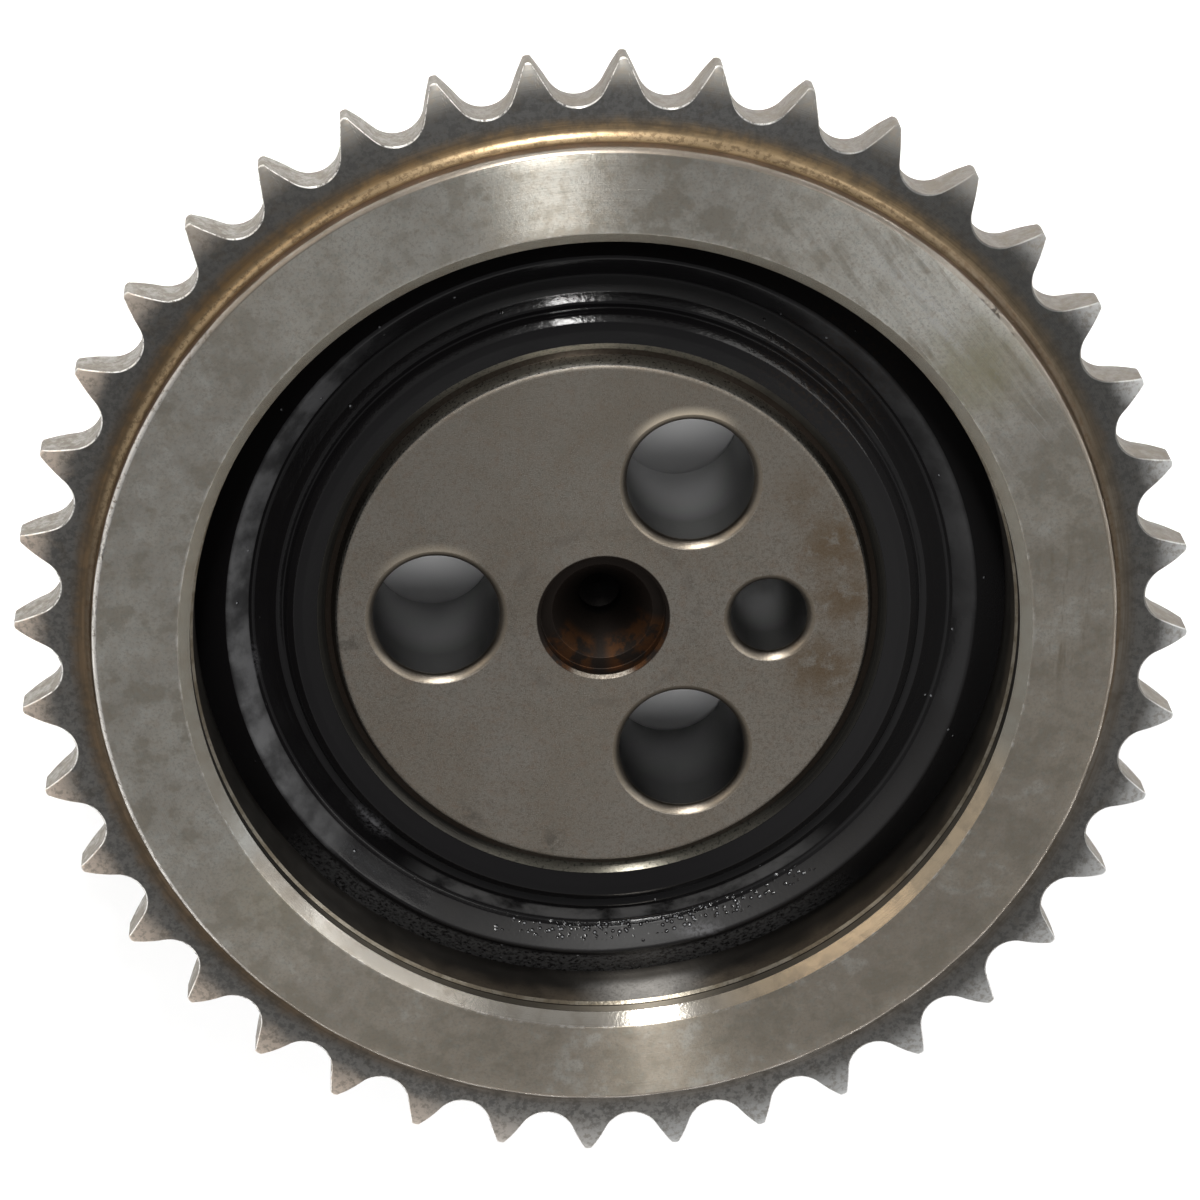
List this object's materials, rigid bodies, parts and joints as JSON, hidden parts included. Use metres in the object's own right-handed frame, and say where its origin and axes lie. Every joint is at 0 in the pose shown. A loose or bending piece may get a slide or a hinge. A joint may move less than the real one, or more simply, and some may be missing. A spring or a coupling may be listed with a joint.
{
  "type": "crankshaft gear",
  "caption": "Roller-chain sprocket ring joined to a thick steel hub by a moulded rubber ring, with bolt holes, a locating hole and a blind centre hole.",
  "frame": {"origin": "centre of the hub's rear face, on the wheel's axis", "axes": "+Z along the wheel's axis out of the recessed front, +X through the small locating hole"},
  "size_m": [0.1246, 0.1246, 0.0293],
  "materials": {
    "rim_steel": "turned and oily, worn, brown staining next to the teeth",
    "sleeve_steel": "plain turned steel, oily",
    "rubber": "black, oily",
    "hub_steel": "dull machined steel with brown stains"
  },
  "bodies": {
    "root": {"toothed_rim": "rim_steel", "outer_sleeve": "sleeve_steel", "rubber_ring": "rubber", "inner_sleeve": "sleeve_steel", "hub": "hub_steel"}
  },
  "joints": []
}
